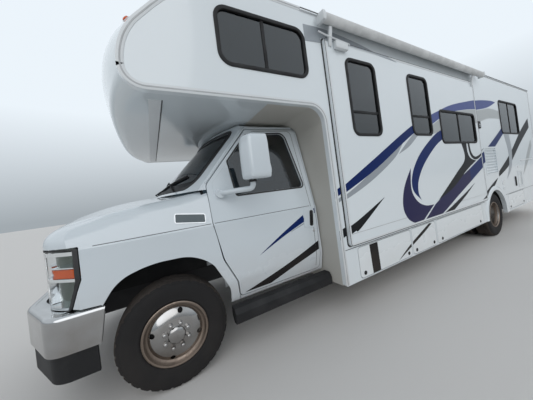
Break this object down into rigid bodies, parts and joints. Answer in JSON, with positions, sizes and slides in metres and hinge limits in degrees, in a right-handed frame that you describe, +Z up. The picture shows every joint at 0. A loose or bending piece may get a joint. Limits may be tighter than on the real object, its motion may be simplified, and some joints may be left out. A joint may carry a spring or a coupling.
{
  "type": "motorhome",
  "caption": "Class C motorhome: cutaway van cab, overcab bunk, box coach body with a slide-out room, dual rear wheels, opening doors and steering.",
  "frame": {"origin": "on the ground, under the middle of the overall box", "axes": "+X forwards, +Y to the vehicle's left, +Z up"},
  "size_m": [8.96, 2.7799, 3.205],
  "materials": {
    "white_paint": "gloss",
    "white_laminate": "gloss",
    "frame_black": "satin",
    "cast_dark": "matte",
    "chrome": "polished",
    "wheel_steel": "satin",
    "aluminium": "satin",
    "tyre": "matte",
    "black_plastic": "matte",
    "grey_plastic": "matte",
    "seat_fabric": "matte",
    "floor_wood": "satin",
    "dark_glass": "gloss",
    "clear_glass": "gloss",
    "lamp_lens": "gloss"
  },
  "bodies": {
    "chassis": {"chassis_frame": "frame_black", "engine_block": "cast_dark", "front_axle_beams": "cast_dark", "springs": "frame_black", "rear_axle": "cast_dark", "fuel_tank": "black_plastic", "exhaust": "wheel_steel", "cab_shell": "white_paint", "body_glass": "dark_glass", "fenders": "white_paint", "lamps": "lamp_lens", "grille": "chrome", "radiator": "black_plastic", "front_bumper": "chrome", "front_valance": "black_plastic", "running_boards": "black_plastic", "wheel_liners": "black_plastic", "cab_seats": "seat_fabric", "dashboard": "grey_plastic", "coach_floor": "floor_wood", "side_wall_left": "white_laminate", "side_wall_right": "white_laminate", "rear_wall": "white_laminate", "rear_bumper": "white_laminate", "roof": "white_laminate", "front_cap": "white_laminate", "cabover_panel": "white_laminate", "baggage_boxes": "grey_plastic", "roof_units": "white_laminate", "patio_awning": "aluminium"},
    "steering_wheel": {"steering_wheel": "black_plastic"},
    "hood": {"hood": "white_paint"},
    "slide_room": {"slide_room": "white_laminate", "slide_windows": "dark_glass", "slide_topper": "aluminium"},
    "entry_door": {"entry_door": "white_laminate", "entry_glass": "dark_glass"},
    "entry_step": {"entry_step": "black_plastic"},
    "cab_door_left": {"cab_door_left": "white_paint", "cab_glass_left": "dark_glass"},
    "knuckle_left": {"knuckle_left": "cast_dark"},
    "front_wheel_left": {"front_rim_left": "wheel_steel", "front_tyre_left": "tyre"},
    "rear_wheels_left": {"rear_rims_left": "wheel_steel", "rear_tyres_left": "tyre"},
    "cab_door_right": {"cab_door_right": "white_paint", "cab_glass_right": "dark_glass"},
    "knuckle_right": {"knuckle_right": "cast_dark"},
    "front_wheel_right": {"front_rim_right": "wheel_steel", "front_tyre_right": "tyre"},
    "rear_wheels_right": {"rear_rims_right": "wheel_steel", "rear_tyres_right": "tyre"},
    "baggage_door_left_front": {"baggage_door_left_front": "white_paint"},
    "baggage_door_left_middle": {"baggage_door_left_middle": "white_paint"},
    "baggage_door_left_centre": {"baggage_door_left_centre": "white_paint"},
    "baggage_door_left_rear": {"baggage_door_left_rear": "white_paint"},
    "baggage_door_right_rear": {"baggage_door_right_rear": "white_paint"}
  },
  "joints": [
    {"name": "steer_left", "type": "hinge", "parent": "chassis", "child": "knuckle_left", "pos_m": [3.6, 0.8, 0.372], "axis": [0, 0, 1], "range_deg": [-35, 35]},
    {"name": "roll_front_left", "type": "hinge", "parent": "knuckle_left", "child": "front_wheel_left", "pos_m": [3.6, 0.87, 0.372], "axis": [0, 1, 0], "continuous": true},
    {"name": "roll_rear_left", "type": "hinge", "parent": "chassis", "child": "rear_wheels_left", "pos_m": [-1.6, 0.985, 0.372], "axis": [0, 1, 0], "continuous": true},
    {"name": "cab_door_left_swing", "type": "hinge", "parent": "chassis", "child": "cab_door_left", "pos_m": [3.26, 0.985, 1], "axis": [0, 0, -1], "range_deg": [0, 68]},
    {"name": "steer_right", "type": "hinge", "parent": "chassis", "child": "knuckle_right", "pos_m": [3.6, -0.8, 0.372], "axis": [0, 0, 1], "range_deg": [-35, 35]},
    {"name": "roll_front_right", "type": "hinge", "parent": "knuckle_right", "child": "front_wheel_right", "pos_m": [3.6, -0.87, 0.372], "axis": [0, 1, 0], "continuous": true},
    {"name": "roll_rear_right", "type": "hinge", "parent": "chassis", "child": "rear_wheels_right", "pos_m": [-1.6, -0.985, 0.372], "axis": [0, 1, 0], "continuous": true},
    {"name": "cab_door_right_swing", "type": "hinge", "parent": "chassis", "child": "cab_door_right", "pos_m": [3.26, -0.985, 1], "axis": [0, 0, 1], "range_deg": [0, 68]},
    {"name": "steering_wheel_turn", "type": "hinge", "parent": "chassis", "child": "steering_wheel", "pos_m": [2.83, 0.43, 1.19], "axis": [-0.8829, 0, 0.4695], "range_deg": [-420, 420]},
    {"name": "hood_lift", "type": "hinge", "parent": "chassis", "child": "hood", "pos_m": [3.45, 0, 1.4], "axis": [0, -1, 0], "range_deg": [0, 45]},
    {"name": "entry_door_swing", "type": "hinge", "parent": "chassis", "child": "entry_door", "pos_m": [1.908, -1.2585, 1.3], "axis": [0, 0, 1], "range_deg": [0, 95]},
    {"name": "baggage_left_front_lift", "type": "hinge", "parent": "chassis", "child": "baggage_door_left_front", "pos_m": [1.5525, 1.2585, 0.6495], "axis": [1, 0, 0], "range_deg": [0, 90]},
    {"name": "baggage_left_middle_lift", "type": "hinge", "parent": "chassis", "child": "baggage_door_left_middle", "pos_m": [0.8125, 1.2585, 0.6495], "axis": [1, 0, 0], "range_deg": [0, 90]},
    {"name": "baggage_left_centre_lift", "type": "hinge", "parent": "chassis", "child": "baggage_door_left_centre", "pos_m": [-0.2225, 1.2585, 0.6495], "axis": [1, 0, 0], "range_deg": [0, 90]},
    {"name": "baggage_left_rear_lift", "type": "hinge", "parent": "chassis", "child": "baggage_door_left_rear", "pos_m": [-2.69, 1.2585, 0.6495], "axis": [1, 0, 0], "range_deg": [0, 90]},
    {"name": "baggage_right_rear_lift", "type": "hinge", "parent": "chassis", "child": "baggage_door_right_rear", "pos_m": [-2.91, -1.2585, 0.6495], "axis": [-1, 0, 0], "range_deg": [0, 90]},
    {"name": "slide_out", "type": "slide", "parent": "chassis", "child": "slide_room", "axis": [0, 1, 0], "range_m": [0, 0.6]},
    {"name": "entry_step_out", "type": "slide", "parent": "chassis", "child": "entry_step", "axis": [0, -1, 0], "range_m": [0, 0.28]}
  ],
  "couplings": [
    {"joint": "steer_right", "follows": "steer_left", "ratio": 1},
    {"joint": "steering_wheel_turn", "follows": "steer_left", "ratio": 12}
  ]
}
